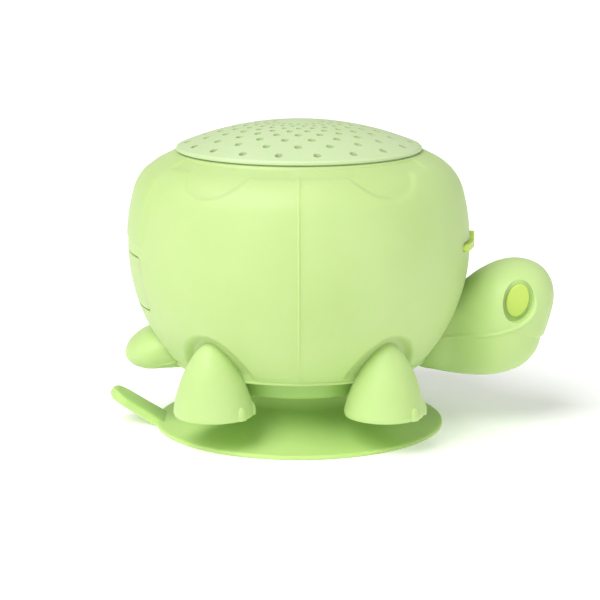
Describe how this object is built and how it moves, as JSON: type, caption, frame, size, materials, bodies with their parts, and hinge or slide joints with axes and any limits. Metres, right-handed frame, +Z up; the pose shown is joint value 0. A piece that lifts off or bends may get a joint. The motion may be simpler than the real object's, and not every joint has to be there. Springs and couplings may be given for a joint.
{
  "type": "shower speaker",
  "caption": "Turtle-shaped soft-skinned shower speaker with a domed grille on top, raised front keys, a rear port flap and a suction cup base with a pull tab.",
  "frame": {"origin": "centre of the suction cup's flat rim, on the surface that it sticks to", "axes": "+X towards the head, +Y towards the left side as the head looks, +Z up through the grille"},
  "size_m": [0.1119, 0.0854, 0.077],
  "materials": {
    "green_silicone": "matte moulded silicone",
    "cup_silicone": "semi-gloss moulded silicone",
    "lime_silicone": "matte moulded silicone",
    "grille_plastic": "fine satin",
    "base_plastic": "fine satin",
    "housing_plastic": "moulded ABS",
    "mesh_cloth": "woven acoustic cloth",
    "zinc_steel": "zinc plated",
    "ferrite": "sintered ferrite",
    "coil_copper": "enamelled wire",
    "cone_pulp": "pressed pulp",
    "black_rubber": "soft",
    "spider_cloth": "varnished cloth",
    "foam": "open foam",
    "board_laminate": "solder mask",
    "chip_black": "moulded epoxy",
    "connector_white": "moulded nylon",
    "battery_wrap": "laminate pouch",
    "wire_red_black": "insulated wire"
  },
  "bodies": {
    "suction_cup": {"suction_cup": "cup_silicone"},
    "pull_tab": {"pull_tab": "cup_silicone"},
    "minus_key": {"minus_key": "lime_silicone", "minus_plunger": "chip_black"},
    "play_key": {"play_key": "lime_silicone", "play_plunger": "chip_black"},
    "plus_key": {"plus_key": "lime_silicone", "plus_plunger": "chip_black"},
    "port_flap": {"port_flap": "green_silicone"},
    "cone": {"cone": "cone_pulp", "dust_cap": "cone_pulp", "voice_coil": "coil_copper"},
    "power_slider": {"power_slider": "chip_black"},
    "speaker": {"acoustic_mesh": "mesh_cloth", "amplifier_chip": "chip_black", "base_plate": "base_plastic", "base_screws": "zinc_steel", "battery": "battery_wrap", "battery_connector": "connector_white", "battery_pad": "foam", "battery_wires": "wire_red_black", "bluetooth_module": "chip_black", "board_parts": "chip_black", "board_screws": "zinc_steel", "body_skin": "green_silicone", "button_board": "board_laminate", "charger_chip": "chip_black", "driver_frame": "zinc_steel", "driver_gasket": "foam", "driver_magnet": "ferrite", "driver_screws": "zinc_steel", "driver_top_plate": "zinc_steel", "driver_yoke": "zinc_steel", "eye_left": "lime_silicone", "eye_right": "lime_silicone", "head": "green_silicone", "housing_screws": "zinc_steel", "housing_seal": "black_rubber", "lower_housing": "housing_plastic", "main_board": "board_laminate", "microphone": "chip_black", "port_tray": "lime_silicone", "power_switch": "chip_black", "speaker_connector": "connector_white", "speaker_grille": "grille_plastic", "speaker_wires": "wire_red_black", "spider": "spider_cloth", "surround": "black_rubber", "tact_switches": "chip_black", "tail": "green_silicone", "terminal_strip": "connector_white", "upper_housing": "housing_plastic", "usb_socket": "zinc_steel"}
  },
  "joints": [
    {"name": "suction_press", "type": "slide", "parent": "suction_cup", "child": "speaker", "axis": [0, 0, 1], "range_m": [-0.005, 0], "stiffness_N_per_m": 3000, "springref_m": 0.003, "deforming": ["suction_cup"]},
    {"name": "tab_lift", "type": "hinge", "parent": "suction_cup", "child": "pull_tab", "pos_m": [-0.037, 0, 0.0015], "axis": [0, 1, 0], "range_deg": [-20, 25], "stiffness_Nm_per_rad": 0.02},
    {"name": "minus_press", "type": "slide", "parent": "speaker", "child": "minus_key", "axis": [-1, 0, 0], "range_m": [0, 0.0006], "stiffness_N_per_m": 800},
    {"name": "play_press", "type": "slide", "parent": "speaker", "child": "play_key", "axis": [-1, 0, 0], "range_m": [0, 0.0006], "stiffness_N_per_m": 800},
    {"name": "plus_press", "type": "slide", "parent": "speaker", "child": "plus_key", "axis": [-1, 0, 0], "range_m": [0, 0.0006], "stiffness_N_per_m": 800},
    {"name": "flap_hinge", "type": "hinge", "parent": "speaker", "child": "port_flap", "pos_m": [-0.039, -0.0178, 0.039], "axis": [0, 0, 1], "range_deg": [0, 100], "stiffness_Nm_per_rad": 0.004},
    {"name": "cone_travel", "type": "slide", "parent": "speaker", "child": "cone", "axis": [0, 0, 1], "range_m": [-0.0012, 0.0012], "stiffness_N_per_m": 1500, "deforming": ["surround", "spider"]},
    {"name": "power_switch_slide", "type": "slide", "parent": "speaker", "child": "power_slider", "axis": [0, 1, 0], "range_m": [0, 0.002]}
  ]
}
